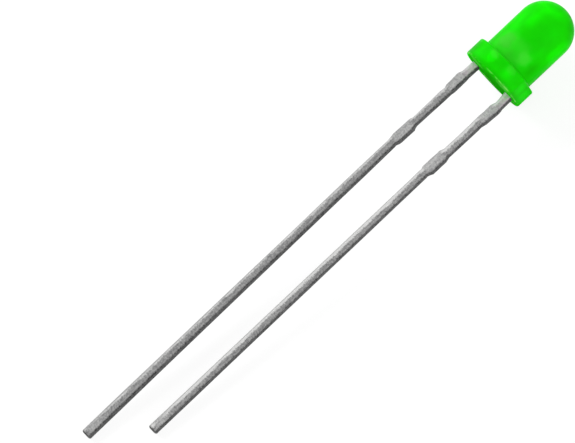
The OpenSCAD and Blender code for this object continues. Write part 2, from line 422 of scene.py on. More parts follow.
# %% [markdown]
# ## Finish: green diffused epoxy
#
# The lens is cast in a polished mould. The epoxy holds green dye and a white powder that spreads
# the light, and the open side of the casting, where the leads come out, is rough. It could be
# made with real scattering inside, which renders slowly and doesn't survive an export. Here one
# shader does the work: subsurface light for the milky look, a little transmission, and absorption
# in the volume that deepens the green with thickness.
#
# The green isn't even, and most of its changes are painted light and shade. Each is a soft ball
# on the own axes, in a table that gives its centre, its reach on each axis and its gain. The first
# two tables make the green lighter or deeper, the second with firmer edges: a painted bright strip
# down the barrel's cathode side, painted light on the dome and the anode side, painted shade round
# the barrel's foot, in its core and along the flange's lower rim, painted highlights and shade in
# stripes round the flange, and painted light on the open side. The third makes it paler: painted
# pale shapes where the frame shows through, painted highlights on the flange and a painted
# reflection on the open side. A slow swirl bends the last two, and small painted glints along the
# flange's lower edge break up its painted line of light. Every table is mirrored from one face of
# the frame to the other.


# %% Soft places in the epoxy
def soft_places(tree, place, table, start, rim=1.0):
    """Adds up soft balls, each with a centre, a reach and a gain. A low rim is crisp."""
    total = start
    for centre, reach, gain in table:
        ball = {"Vector": place, "Location": centre, "Scale": reach}
        inside = add(tree, "ShaderNodeMapping", ball, vector_type="TEXTURE").outputs[0]
        inside = add(tree, "ShaderNodeTexGradient", {0: inside}, gradient_type="SPHERICAL")
        soft = spread(tree, inside.outputs["Fac"], 0.0, gain, 0.0, rim, "SMOOTHSTEP")
        total = maths(tree, "ADD", total, soft)
    return total


# %% Tables of painted light and shade
WIDE = 99.0
# Painted light and shade: a bright strip down the cathode side, light on the dome and the anode
# side, shade round the barrel's foot and the flange's rim, stripes round the flange, light on the
# open side.
PAINTED_LIGHT_AND_SHADE = [
    ((0.1, -1.55, 3.2), (0.9, 0.45, 1.2), 0.26),
    ((1.35, 0.75, 3.2), (0.6, 0.6, 1.5), 0.2),
    ((1.5, 0.1, 3.6), (0.5, 0.5, 1.0), 0.18),
    ((1.0, 0.1, 4.9), (1.3, 1.3, 1.1), 0.69),
    ((0.2, -1.3, 4.7), (0.9, 0.8, 0.9), -0.15),
    ((0.0, 0.0, 1.25), (WIDE, WIDE, 0.8), -0.06),
    ((1.15, -1.0, 1.75), (0.5, 0.5, 0.65), 0.09),
    ((1.5, -0.35, 1.35), (0.5, 0.4, 0.5), -0.08),
    ((0.6, -1.4, 1.7), (0.5, 0.45, 0.8), -0.2),
    ((1.05, 1.15, 1.6), (0.6, 0.5, 0.9), -0.19),
    ((1.2, 1.45, 0.5), (0.9, 0.8, 0.9), -0.42),
    ((1.89, 0.15, 0.6), (0.6, 0.5, 0.6), 0.11),
    ((1.55, -1.05, 0.6), (0.6, 0.4, 0.6), 0.21),
    ((1.1, -1.5, 0.6), (0.5, 0.4, 0.6), -0.09),
    ((0.4, -1.75, 0.7), (0.6, 0.5, 0.6), 0.24),
    ((0.0, 0.0, 0.0), (WIDE, WIDE, 0.15), -0.04),
    ((1.45, 0.6, 2.65), (0.5, 0.4, 0.5), 0.05),
    ((0.0, 0.0, 0.1), (WIDE, WIDE, 0.25), -0.15),
    ((1.1, 0.8, 0.0), (0.7, 0.6, 0.2), 0.4),
    ((1.0, -1.2, 0.0), (0.8, 0.6, 0.2), 0.2),
]
# Painted shade in the core, by the post and on the anode side, and painted light in the
# cathode-side strip and on the flange.
CRISP_LIGHT_AND_SHADE = [
    ((1.4, -0.55, 3.05), (0.95, 0.95, 1.05), -0.06),
    ((1.5, 0.35, 1.8), (0.42, 0.5, 0.55), -0.07),
    ((1.2, 1.0, 3.3), (0.75, 0.75, 1.4), -0.09),
    ((0.1, -1.55, 3.3), (0.7, 0.35, 1.0), 0.09),
    ((1.89, 0.1, 0.62), (0.35, 0.35, 0.4), 0.12),
]
# Painted pale shapes where the frame shows through, painted highlights on the flange and a painted
# reflection on the open side.
PAINTED_PALE_MARKS = [
    ((1.4, -0.1, 1.75), (0.9, 1.6, 1.0), 0.38),
    ((1.5, 0.35, 1.85), (0.45, 0.55, 0.55), 0.45),
    ((1.2, -0.95, 1.78), (0.45, 0.45, 0.52), 0.5),
    ((1.89, 0.1, 0.85), (0.35, 0.4, 0.35), 0.45),
    ((1.55, -1.1, 0.85), (0.3, 0.35, 0.3), 0.35),
    ((1.1, 0.8, 0.0), (0.7, 0.6, 0.2), 1.2),
    ((1.0, -1.2, 0.0), (0.8, 0.6, 0.2), 1.2),
]
# Painted glints along the flange's lower edge.
RIM_GLINT_BAND = [((0.0, 0.0, 0.06), (WIDE, WIDE, 0.045), 1.0)]
CRISP_RIM = 0.35
PALE_RIM = 0.6
print("soft places:", len(PAINTED_LIGHT_AND_SHADE) + len(CRISP_LIGHT_AND_SHADE) + len(PAINTED_PALE_MARKS) + len(RIM_GLINT_BAND))

# %% Green epoxy: painted light, shade and pale marks
SWIRL = 0.5
PALE_START = 0.16
green_epoxy, epoxy, epoxy_shader, epoxy_place = new_finish("milky_green_epoxy")
epoxy_maths = partial(maths, epoxy)
clouds, _ = grain_of(epoxy, epoxy_place, Speck_scale=1.1)
glint_grain, _ = grain_of(epoxy, epoxy_place, Speck_scale=2.2)
haze, scratches = grain_of(
    epoxy, epoxy_place, Speck_scale=30.0, Streak_scale=60.0, Streak_length=25.0
)
thickwise, widthwise, height_up = add(epoxy, "ShaderNodeSeparateXYZ", {0: epoxy_place}).outputs
one_face = epoxy_maths("ABSOLUTE", thickwise)
folded = add(epoxy, "ShaderNodeCombineXYZ", {0: one_face, 1: widthwise, 2: height_up}).outputs[0]
swirl = add(epoxy, "ShaderNodeTexNoise", {"Vector": epoxy_place, "Scale": 1.6}).outputs["Color"]
shift = {0: swirl, 1: (SWIRL,) * 3, 2: folded}
swirled = add(epoxy, "ShaderNodeVectorMath", shift, operation="MULTIPLY_ADD").outputs[0]
back = {0: swirled, 1: (SWIRL / 2,) * 3}
swirled = add(epoxy, "ShaderNodeVectorMath", back, operation="SUBTRACT").outputs[0]

# Painted glints: paler and lighter spots along the flange's lower edge.
rim_glints = epoxy_maths(
    "MULTIPLY",
    spread(epoxy, glint_grain, 0.0, 2.0, 0.46, 0.56),
    soft_places(epoxy, folded, RIM_GLINT_BAND, 0.0, PALE_RIM),
)
pale = epoxy_maths("ADD", rim_glints, soft_places(epoxy, swirled, PAINTED_PALE_MARKS, PALE_START, PALE_RIM))
# Painted light and shade, on top of a random cloudy tone.
depth = soft_places(epoxy, folded, PAINTED_LIGHT_AND_SHADE, spread(epoxy, clouds, 0.93, 1.01))
depth = soft_places(epoxy, swirled, CRISP_LIGHT_AND_SHADE, depth, CRISP_RIM)
depth = epoxy_maths("MULTIPLY_ADD", rim_glints, 0.12, depth)
print("epoxy places:", len(epoxy.nodes), "nodes")

# %% Green epoxy: colour and surface
RED_LEVEL, GREEN_LEVEL, BLUE_LEVEL = 0.055, 0.730, 0.032
NO_BLUE = 0.12
open_side = spread(epoxy, height_up, 1.0, 0.0, 0.01, 0.04)
# The open side is painted lighter green, as painted light. It is also rougher.
green = epoxy_maths("MULTIPLY_ADD", open_side, 0.3, depth)
dye_and_painted_light = add(epoxy, "ShaderNodeCombineColor", {
    "Red": epoxy_maths("MULTIPLY", pale, RED_LEVEL),
    "Green": epoxy_maths("MULTIPLY", green, GREEN_LEVEL, clamp=True),
    "Blue": epoxy_maths("MULTIPLY", epoxy_maths("SUBTRACT", pale, NO_BLUE), BLUE_LEVEL),
})
polished = epoxy_maths(
    "ADD", spread(epoxy, haze, 0.30, 0.38), spread(epoxy, scratches, 0.0, 0.05)
)
feed(epoxy, epoxy_shader, {
    "Base Color": dye_and_painted_light.outputs[0],
    "Roughness": epoxy_maths("MULTIPLY_ADD", open_side, 0.6, polished, clamp=True),
    "IOR": 1.5,
    "Transmission Weight": 0.012,
    "Subsurface Weight": 1.0,
    "Subsurface Radius": (0.35, 1.0, 0.3),
    "Subsurface Scale": 1.2 * MM,
    "Specular IOR Level": 0.02,
})
bumped(epoxy, epoxy_shader, epoxy_maths("MULTIPLY_ADD", haze, 0.2, clouds), 0.01, 0.4)
dye = add(epoxy, "ShaderNodeVolumeAbsorption", {"Color": (0.02, 0.9, 0.02, 1), "Density": 500.0})
feed(epoxy, epoxy.nodes["Material Output"], {"Volume": dye.outputs[0]})
print("green_epoxy:", len(epoxy.nodes), "nodes")

# %% [markdown]
# ## Finish: chip, adhesive and gold
#
# The chip is a sawn block of amber crystal with a gold electrode on top. The adhesive under it is
# epoxy full of silver flakes. The bond wire is drawn gold, so its fine lines run along it. Flakes
# and saw marks could be modelled, but they are thousandths of a millimetre deep, so noise, cells
# and a bump are enough.

# %% Chip crystal
AMBER = (0.3, 0.24, 0.07, 1), (0.5, 0.42, 0.14, 1)
ELECTRODE_GOLD = (0.9, 0.65, 0.25, 1)
ELECTRODE_R = 0.065
CHIP_EDGE = 0.004
chip_crystal, chip, chip_shader, chip_place = new_finish("sawn_amber_crystal")
chip_specks, saw_lines = grain_of(
    chip, chip_place, Speck_scale=18.0, Streak_scale=60.0, Streak_length=0.1
)
crystal = blend_colours(chip, spread(chip, chip_specks, 0.0, 1.0), *AMBER)
chip_x, chip_y, chip_z = add(chip, "ShaderNodeSeparateXYZ", {0: chip_place}).outputs
squares = (maths(chip, "POWER", side, 2.0) for side in (chip_x, chip_y))
off_centre = maths(chip, "SQRT", maths(chip, "ADD", *squares))
on_top = maths(chip, "GREATER_THAN", chip_z, chip_high.z - CHIP_EDGE)
electrode = maths(chip, "MULTIPLY", on_top, maths(chip, "LESS_THAN", off_centre, ELECTRODE_R))
feed(chip, chip_shader, {
    "Base Color": blend_colours(chip, electrode, crystal, ELECTRODE_GOLD),
    "Metallic": electrode,
    "Roughness": spread(chip, saw_lines, 0.2, 0.5),
})
bumped(chip, chip_shader, saw_lines, 0.004, 0.6)
print("chip_crystal:", len(chip.nodes), "nodes")

# %% Silver adhesive
FLAKE = (0.75, 0.75, 0.77, 1), (0.4, 0.4, 0.42, 1)
silver_adhesive, silver, silver_shader, silver_place = new_finish("silver_filled_glue")
flakes = add(silver, "ShaderNodeTexVoronoi", {"Vector": silver_place, "Scale": 60.0})
flakes = flakes.outputs["Distance"]
silver_specks, _ = grain_of(silver, silver_place, Speck_scale=25.0)
feed(silver, silver_shader, {
    "Base Color": blend_colours(silver, flakes, *FLAKE),
    "Metallic": spread(silver, flakes, 0.9, 0.4, 0.2, 0.8),
    "Roughness": spread(silver, silver_specks, 0.3, 0.6),
})
bumped(silver, silver_shader, flakes, 0.004, 0.7)
print("silver_adhesive:", len(silver.nodes), "nodes")

# %% Gold
GOLD = (0.85, 0.55, 0.16, 1), (1.0, 0.76, 0.34, 1)
gold_drawn, gold, gold_shader, gold_place = new_finish("drawn_gold")
gold_specks, gold_lines = grain_of(
    gold, gold_place, Speck_scale=20.0, Streak_scale=90.0, Streak_length=8.0
)
feed(gold, gold_shader, {
    "Base Color": blend_colours(gold, spread(gold, gold_specks, 0.0, 1.0), *GOLD),
    "Metallic": 1.0,
    "Roughness": spread(gold, gold_lines, 0.18, 0.36),
})
bumped(gold, gold_shader, gold_lines, 0.002, 0.5)
print("gold_drawn:", len(gold.nodes), "nodes")

# %% [markdown]
# ## The lens
#
# The lens is a turned shape: a half section swung round the axis. The one thing that isn't round
# is the flat on the flange, which marks the cathode. A lathe (the Screw modifier, or a spin)
# would need a cut for the flat, with ragged triangles round it. The tree below wraps a grid round
# the axis instead, a ring for each point of the half section, and pulls the rings of the flange
# in to the flat. Every face stays a clean quad, and the flat's corners come out softly rounded,
# as a mould leaves them.

# %% Rings of points along the stations
def ring_grid(tree, stations, ring_points):
    """A grid with a row for each station, and the fields for its station and place in the ring."""
    count = add(tree, "GeometryNodeAttributeDomainSize", {0: stations})
    columns = maths(tree, "ADD", ring_points, 1.0)
    size = {"Vertices X": count.outputs["Point Count"], "Vertices Y": columns}
    grid = add(tree, "GeometryNodeMeshGrid", size)
    index = add(tree, "GeometryNodeInputIndex").outputs[0]
    row = maths(tree, "FLOOR", maths(tree, "DIVIDE", maths(tree, "ADD", index, 0.5), columns))
    column = maths(tree, "SUBTRACT", index, maths(tree, "MULTIPLY", row, columns))
    return grid.outputs["Mesh"], row, column


def at_station(tree, stations, value, row, data_type="FLOAT"):
    """The value that a station's point has, for the grid row that belongs to it."""
    inputs = {"Geometry": stations, "Value": value, "Index": row}
    return add(tree, "GeometryNodeSampleIndex", inputs, data_type=data_type).outputs["Value"]


def station_place(tree, stations, row):
    """The three coordinates of a row's station."""
    position = add(tree, "GeometryNodeInputPosition").outputs[0]
    place = at_station(tree, stations, position, row, "FLOAT_VECTOR")
    return add(tree, "ShaderNodeSeparateXYZ", {0: place}).outputs


def finish_tree(tree, geometry, material, output):
    """Makes a tree's geometry real and gives it a material."""
    real = add(tree, "GeometryNodeRealizeInstances", {0: geometry}).outputs[0]
    coated = add(tree, "GeometryNodeSetMaterial", {"Geometry": real, "Material": material})
    tree.links.new(coated.outputs[0], output)


def close_up(tree, grid, position, material, output):
    """Moves the grid to its places, welds its seam and ends, and gives it a material."""
    moved = add(tree, "GeometryNodeSetPosition", {"Geometry": grid, "Position": position})
    weld = {"Geometry": moved.outputs[0], "Distance": WELD_REACH}
    welded = add(tree, "GeometryNodeMergeByDistance", weld)
    finish_tree(tree, welded.outputs[0], material, output)


WELD_REACH = 0.0002
print("points closer than %.4f mm are welded" % WELD_REACH)

# %% Tree: a turned body with one flat
turned_tree, turned_in, turned_out = new_tree(
    "turned_body",
    [
        ("Ring points", "Int", 160),
        ("Flange radius", "Float", 1.9),
        ("Flat distance", "Float", 1.68),
        ("Flat softness", "Float", 0.03),
        ("Material", "Material", None),
    ],
)
calc = partial(maths, turned_tree)
half_section = turned_in["Geometry"]
grid, row, column = ring_grid(turned_tree, half_section, turned_in["Ring points"])
angle = calc("DIVIDE", calc("MULTIPLY", column, math.tau), turned_in["Ring points"])
cosine, sine = calc("COSINE", angle), calc("SINE", angle)
towards_flat = calc("MAXIMUM", calc("MULTIPLY", sine, -1.0), 0.01)
flat_reach = calc("DIVIDE", turned_in["Flat distance"], towards_flat)
outline = calc("SMOOTH_MIN", turned_in["Flange radius"], flat_reach, turned_in["Flat softness"])
section_r, _, section_z = station_place(turned_tree, half_section, row)
reach = at_station(turned_tree, half_section, named(turned_tree, "reach"), row)
pulled_in = calc("MULTIPLY", reach, calc("SUBTRACT", turned_in["Flange radius"], outline))
ring_r = calc("SUBTRACT", section_r, pulled_in)
on_ring = add(
    turned_tree,
    "ShaderNodeCombineXYZ",
    {0: calc("MULTIPLY", ring_r, cosine), 1: calc("MULTIPLY", ring_r, sine), 2: section_z},
)
close_up(turned_tree, grid, on_ring.outputs[0], turned_in["Material"], turned_out["Geometry"])
print("turned_body:", len(turned_tree.nodes), "nodes")


# %% Half section of the lens
def arc(centre, radius, start, end, steps):
    """Points on an arc, from and to an angle in degrees, both ends with it."""
    turns = [math.radians(start + (end - start) * i / steps) for i in range(steps + 1)]
    return [(centre[0] + radius * math.cos(a), centre[1] + radius * math.sin(a)) for a in turns]


def run(start, end, steps):
    """Points on a straight line, without its two ends."""
    shares = [i / steps for i in range(1, steps)]
    return [tuple(a + (b - a) * share for a, b in zip(start, end)) for share in shares]


FLANGE_HEIGHT = 1.1
FLANGE_ROUND = 0.1
ROOT_ROUND = 0.06
rim = flange_radius - FLANGE_ROUND
root_r = barrel_radius + ROOT_ROUND
foot = arc((rim, FLANGE_ROUND), FLANGE_ROUND, -90, 0, 6)
shoulder = arc((rim, FLANGE_HEIGHT - FLANGE_ROUND), FLANGE_ROUND, 0, 90, 6)
root = arc((root_r, FLANGE_HEIGHT + ROOT_ROUND), ROOT_ROUND, 270, 180, 5)
dome = arc((0, lens_height - barrel_radius), barrel_radius, 0, 90, 36)
dome[-1] = (0.0, lens_height)
underside = [(0.0, 0.0), *run((0, 0), foot[0], 10)]
flange_side = [*foot, *run(foot[-1], shoulder[0], 5), *shoulder]
flange_top = run(shoulder[-1], root[0], 3)
barrel = [*root, *run(root[-1], dome[0], 10), *dome]
section = [*underside, *flange_side, *flange_top, *barrel]
print("half section:", len(section), "points")

# %% The lens
# How far each ring follows the flat: fully on the flange's side, less towards the axis.
reaches = [r / rim for r, _ in underside]
reaches += [1.0] * len(flange_side)
reaches += [(r - root[0][0]) / (rim - root[0][0]) for r, _ in flange_top]
reaches += [0.0] * len(barrel)
lens_mesh = grown(
    "epoxy_lens",
    station_mesh("half_section", [(r, 0, z) for r, z in section], reach=reaches),
    turned_tree,
    green_epoxy,
    Flange_radius=flange_radius,
    Flat_distance=flat_distance,
)
epoxy_lens = set_down("epoxy_lens", lens_mesh, 40)

# %% [markdown]
# ## The two stampings
#
# Each lead is one piece of stamped strip. Below the lens it is a square bar with two pairs of
# stubs, where the tie bars of the strip were cut off. Inside the lens it widens to the frame that
# carries the chip: the cathode ends in a round head with a cup pressed in it, the anode in a post
# for the bond wire. It could be cut from a sheet with booleans, which leave ragged faces. Here
# the outline is a list of stations along the lead instead, each with its centre, half width, half
# thickness, corner radius and the plating's `matte`. A circle is a square whose corner radius is
# half its width, so even the head and its cup are stations of the same list, and each stamping
# comes out as one closed skin.
#
# The edges of a real lead are never quite straight or alike: they bend a hair by the lens, and
# each stub was cut a little differently. So they come from a table, one row for each depth below
# the lens.

# %% Tree: a bar of rounded squares
SHADED_SIDE_POWER = 7.0
bar_tree, bar_in, bar_out = new_tree(
    "stamped_bar", [("Corner steps", "Int", 6), ("Material", "Material", None)]
)
calc = partial(maths, bar_tree)
bar_stations = bar_in["Geometry"]
corner_points = calc("ADD", bar_in["Corner steps"], 1.0)
grid, row, column = ring_grid(bar_tree, bar_stations, calc("MULTIPLY", corner_points, 4.0))
corner = calc("FLOOR", calc("DIVIDE", calc("ADD", column, 0.5), corner_points))
step = calc("SUBTRACT", column, calc("MULTIPLY", corner, corner_points))
quarter = calc("ADD", corner, calc("DIVIDE", step, bar_in["Corner steps"]))
angle = calc("MULTIPLY", quarter, math.tau / 4)
diagonal = calc("MULTIPLY", calc("ADD", corner, 0.5), math.tau / 4)
cosine, sine = calc("COSINE", angle), calc("SINE", angle)
centre_x, centre_y, centre_z = station_place(bar_tree, bar_stations, row)
half_w, half_t, corner_r, matte_here = (
    at_station(bar_tree, bar_stations, named(bar_tree, key), row)
    for key in ("half_w", "half_t", "corner_r", "matte")
)
bar_x, bar_y = (
    calc(
        "ADD",
        calc("MULTIPLY", calc("SIGN", calc(turn, diagonal)), calc("SUBTRACT", half, corner_r)),
        calc("MULTIPLY", round_part, corner_r),
    )
    for turn, half, round_part in (("COSINE", half_t, cosine), ("SINE", half_w, sine))
)
on_bar = add(
    bar_tree,
    "ShaderNodeCombineXYZ",
    {0: calc("ADD", centre_x, bar_x), 1: calc("ADD", centre_y, bar_y), 2: centre_z},
)
marked = grid
# The side faces' mask feeds the tin's painted shade.
for mark, value in (
    ("shaded_side", calc("POWER", calc("ABSOLUTE", sine), SHADED_SIDE_POWER)),
    ("across", calc("DIVIDE", bar_y, calc("MAXIMUM", half_w, 0.001))),
    ("matte", matte_here),
):
    store = {"Geometry": marked, "Name": mark, "Value": value}
    marked = add(bar_tree, "GeometryNodeStoreNamedAttribute", store).outputs[0]
close_up(bar_tree, marked, on_bar.outputs[0], bar_in["Material"], bar_out["Geometry"])
print("stamped_bar:", len(bar_tree.nodes), "nodes")

# %% Edges of the leads
# A row is a depth below the lens, then how far the inner and the outer edge are from the LED's
# axis. 1 is the anode's side of the axis, -1 the cathode's.
LEAD_EDGES = {
    1: [
        (0.00, 1.011, 1.438), (0.75, 1.032, 1.459), (0.98, 1.028, 1.544), (1.45, 1.019, 1.518),
        (1.80, 1.021, 1.512), (1.98, 1.040, 1.457), (2.30, 1.041, 1.487), (3.00, 1.053, 1.479),
        (4.22, 1.079, 1.472), (4.34, 1.086, 1.528), (4.48, 1.054, 1.532), (4.60, 0.997, 1.525),
        (5.00, 1.007, 1.536), (5.50, 1.016, 1.556), (5.62, 1.033, 1.527), (5.78, 1.089, 1.520),
        (5.95, 1.076, 1.499), (6.50, 1.071, 1.504), (8.00, 1.055, 1.505), (10.0, 1.049, 1.497),
        (13.0, 1.025, 1.472), (16.0, 1.003, 1.463), (19.0, 0.983, 1.452), (22.0, 0.962, 1.440),
        (25.0, 0.931, 1.428), (27.4, 0.912, 1.406),
    ],
    -1: [
        (0.00, 1.063, 1.530), (0.70, 1.141, 1.555), (0.98, 1.057, 1.584), (1.45, 1.066, 1.555),
        (1.80, 1.039, 1.535), (2.10, 1.039, 1.477), (2.30, 1.043, 1.486), (3.00, 1.048, 1.482),
        (4.22, 1.036, 1.469), (4.34, 0.995, 1.458), (4.48, 0.949, 1.488), (4.60, 0.961, 1.525),
        (5.00, 0.942, 1.520), (5.50, 0.938, 1.520), (5.62, 0.933, 1.448), (5.78, 0.991, 1.412),
        (5.95, 0.973, 1.413), (6.50, 0.985, 1.417), (8.00, 0.984, 1.417), (10.0, 0.985, 1.422),
        (13.0, 0.985, 1.425), (16.0, 0.983, 1.430), (19.0, 0.984, 1.435), (22.0, 0.986, 1.445),
        (24.8, 0.984, 1.448),
    ],
}
print("rows of edges:", {side: len(rows) for side, rows in LEAD_EDGES.items()})

# %% Sizes of the leads and their stubs
LEAD_THICK = 0.416
LEAD_ROUND, STUB_ROUND = 0.09, 0.04
BARE_W, STUB_W = 0.42, 0.50
STUB_SPANS = (0.9, 1.9), (4.45, 5.7)
STUB_RAMP = 0.1
TIP_ROUND = 0.1
TIP_RIM, TIP_RISE = 0.06, 0.12
TIP_MATTE, TIP_FADE = 0.55, 1.1
LEAD_STEPS, TIP_STEPS = 60, 6


def limited(value):
    """The value, kept between 0 and 1."""
    return min(1.0, max(0.0, value))


def between(rows, depth):
    """The two edges of a lead at a depth, on straight lines between the rows of its table."""
    for above, below in zip(rows, rows[1:]):
        if depth <= below[0]:
            share = (depth - above[0]) / (below[0] - above[0])
            return [above[k] + (below[k] - above[k]) * share for k in (1, 2)]
    return rows[-1][1:]


def matte_share(depth, length):
    """1 where the plating is matte, on the stubs and towards the tip, and -1 on the cut end."""
    to_tip = length - depth
    if to_tip < TIP_RIM + TIP_RISE:
        return max(-1.0, 2 * (to_tip - TIP_RIM) / TIP_RISE - 1)
    into_stub = max(min(depth - start, end - depth) for start, end in STUB_SPANS)
    into_fade = (to_tip - TIP_MATTE) / TIP_FADE
    return max(limited(0.5 + into_stub / STUB_RAMP), limited(1 - into_fade))


print("stubs at depths", STUB_SPANS)


# %% Stations of a lead
def lead_stations(side, length):
    """Stations of a lead from its tip up to the lens."""
    rows = LEAD_EDGES[side]
    depths = {0.0, length, *(row[0] for row in rows)}
    depths.update(length * i / LEAD_STEPS for i in range(LEAD_STEPS))
    turns = [math.radians(90 * i / TIP_STEPS) for i in range(TIP_STEPS + 1)]
    depths.update(length - TIP_ROUND * (1 - math.cos(turn)) for turn in turns)
    for ramp in (-STUB_RAMP / 2, STUB_RAMP / 2):
        depths.update(edge + ramp for span in STUB_SPANS for edge in span)
    stations = []
    for depth in sorted(depths, reverse=True):
        inner, outer = between(rows, min(depth, rows[-1][0]))
        extra = limited((outer - inner - BARE_W) / (STUB_W - BARE_W))
        rounding = TIP_ROUND - min(TIP_ROUND, length - depth)
        inset = TIP_ROUND - math.sqrt(max(0.0, TIP_ROUND**2 - rounding**2))
        stations.append(
            (
                side * (inner + outer) / 2,
                -depth,
                (outer - inner) / 2 - inset,
                LEAD_THICK / 2 - inset,
                LEAD_ROUND + (STUB_ROUND - LEAD_ROUND) * extra,
                matte_share(depth, length),
            )
        )
    tip_centre = stations[0][:2]
    return [(*tip_centre, 0.0, 0.0, 0.0, -1.0), *stations]


cathode_lead = lead_stations(-1, cathode_length)
anode_lead = lead_stations(1, anode_length)
print("lead stations:", len(cathode_lead), len(anode_lead))

# %% Sizes of the frame inside the lens
SHEET_HALF, SHEET_ROUND = 0.19, 0.03
SHEET_REACH = 1.25
FOOT_IN, FOOT_OUT, FOOT_ROUND = 1.08, 1.46, 0.05
FOOT_Z, SPREAD_Z, WIDE_Z = 0.42, 0.55, 1.22
STEM_IN = -0.3926
HEAD_R, HEAD_H, HEAD_EDGE = 0.4926, 0.55, 0.03
CUP_MOUTH_R, CUP_FLOOR_R, CUP_DEPTH = 0.3926, 0.2268, 0.34
POST_IN, POST_TOP_H, POST_EDGE = 0.6726, 0.35, 0.02
NECK_IN, NECK_SLOPE = 0.8126, 0.14
head_z = frame_top - HEAD_H
cup_floor = frame_top - CUP_DEPTH


def sheet_stations(side, rows):
    """The foot and the sheet above it, each row an inner and an outer edge and a height."""
    rows = [(FOOT_IN, FOOT_OUT, FOOT_Z), (FOOT_IN, FOOT_OUT, SPREAD_Z), *rows]
    stations = [
        (side * (inner + outer) / 2, z, (outer - inner) / 2, SHEET_HALF, SHEET_ROUND)
        for inner, outer, z in rows
    ]
    stations[0] = (*stations[0][:4], FOOT_ROUND)
    return stations


def disc_stations(rows):
    """Round stations on the LED's axis, each from its radius and height."""
    return [(0.0, z, r, r, r) for r, z in rows]


def stamping(name, rows, material, sharp, **settings):
    """Grows a stamping or any other bar from its stations and sets it down."""
    columns = ("half_w", 2), ("half_t", 3), ("corner_r", 4), ("matte", 5)
    mesh = station_mesh(
        name,
        [(0.0, row[0], row[1]) for row in rows],
        **{key: [row[k] if k < len(row) else 0.0 for row in rows] for key, k in columns},
    )
    return set_down(name, grown(name, mesh, bar_tree, material, **settings), sharp)


print("head at %.3f, cup floor at %.3f" % (head_z, cup_floor))

# %% The cathode and the anode
anvil = sheet_stations(-1, (
    (STEM_IN, SHEET_REACH, WIDE_Z),
    (STEM_IN, SHEET_REACH, head_z - 0.12),
    (STEM_IN, 0.5, head_z - 0.02),
))
cup = disc_stations((
    (0.3, head_z - 0.02),
    (HEAD_R - HEAD_EDGE, head_z),
    (HEAD_R, head_z + HEAD_EDGE),
    (HEAD_R, frame_top - HEAD_EDGE),
    (HEAD_R - 0.009, frame_top - 0.009),
    (HEAD_R - HEAD_EDGE, frame_top),
    (CUP_MOUTH_R + 0.015, frame_top),
    (CUP_MOUTH_R - 0.005, frame_top - 0.01),
    (CUP_FLOOR_R + 0.012, cup_floor + 0.025),
    (CUP_FLOOR_R - 0.004, cup_floor + 0.003),
    (CUP_FLOOR_R - 0.02, cup_floor),
    (0.0, cup_floor),
))
post = sheet_stations(1, (
    (NECK_IN, SHEET_REACH, WIDE_Z),
    (NECK_IN, SHEET_REACH, frame_top - POST_TOP_H - NECK_SLOPE),
    (POST_IN, SHEET_REACH, frame_top - POST_TOP_H),
    (POST_IN, SHEET_REACH, frame_top - POST_EDGE),
    (POST_IN + POST_EDGE, SHEET_REACH - POST_EDGE, frame_top),
))
post.append(((POST_IN + SHEET_REACH) / 2, frame_top, 0.0, 0.0, 0.0))
cathode_rows = [*cathode_lead, *anvil, *cup]
cathode_stamping = stamping("cathode_stamping", cathode_rows, tin_plate, 30)
anode_stamping = stamping("anode_stamping", [*anode_lead, *post], tin_plate, 30)

# %% [markdown]
# ## Chip and adhesive
#
# The chip is sawn from a wafer in two passes, which leaves a narrow step round its foot. It sits
# in a thin puddle of silver adhesive that climbs a little at its edge. Both are short bars on the
# same tree: the chip with sharp corners, the adhesive with round ones.

# %% Chip and adhesive
SAW_STEP, SAW_STEP_H = 0.008, 0.06
chip_half = (chip_high.y - chip_low.y) / 2
chip_rows = [
    (0.0, z, half, half, CHIP_EDGE if half else 0.0)
    for half, z in (
        (0.0, chip_low.z),
        (chip_half, chip_low.z),
        (chip_half, chip_low.z + SAW_STEP_H),
        (chip_half - SAW_STEP, chip_low.z + SAW_STEP_H + CHIP_EDGE),
        (chip_half - SAW_STEP, chip_high.z - CHIP_EDGE),
        (chip_half - SAW_STEP - CHIP_EDGE, chip_high.z),
        (0.0, chip_high.z),
    )
]
crystal_chip = stamping("crystal_chip", chip_rows, chip_crystal, 30, Corner_steps=2)
glue_r = glue_high.y
glue_rows = disc_stations((
    (0.0, glue_low.z),
    (glue_r, glue_low.z),
    (glue_r - 0.001, glue_low.z + 0.008),
    (glue_r - 0.008, glue_high.z - 0.003),
    (glue_r - 0.02, glue_high.z),
    (0.0, glue_high.z),
))
silver_glue = stamping("silver_glue", glue_rows, silver_adhesive, 50, Corner_steps=10)

# %% [markdown]
# ## The bond wire
#
# A machine melts the wire's end to a ball, presses it on the chip, lets the wire out in a loop
# and pinches it off on the post. A wire could be a bevelled curve with a ball joined on, which
# leaves a seam. Here one curve runs the whole way: each of its points carries the wire's radius
# there, `thick`, which scales a profile circle swept along it, so the ball and the pinched end
# are part of the same skin.

# %% Tree: a swept wire
wire_tree, wire_in, wire_out = new_tree(
    "swept_wire", [("Sides", "Int", 14), ("Material", "Material", None)]
)
path = add(wire_tree, "GeometryNodeMeshToCurve", {"Mesh": wire_in["Geometry"]})
circle = add(
    wire_tree, "GeometryNodeCurvePrimitiveCircle", {"Resolution": wire_in["Sides"], "Radius": 1.0}
)
swept = add(wire_tree, "GeometryNodeCurveToMesh", {
    "Curve": path.outputs[0],
    "Profile Curve": circle.outputs[0],
    "Scale": named(wire_tree, "thick"),
    "Fill Caps": True,
})
finish_tree(wire_tree, swept.outputs[0], wire_in["Material"], wire_out["Geometry"])
print("swept_wire:", len(wire_tree.nodes), "nodes")

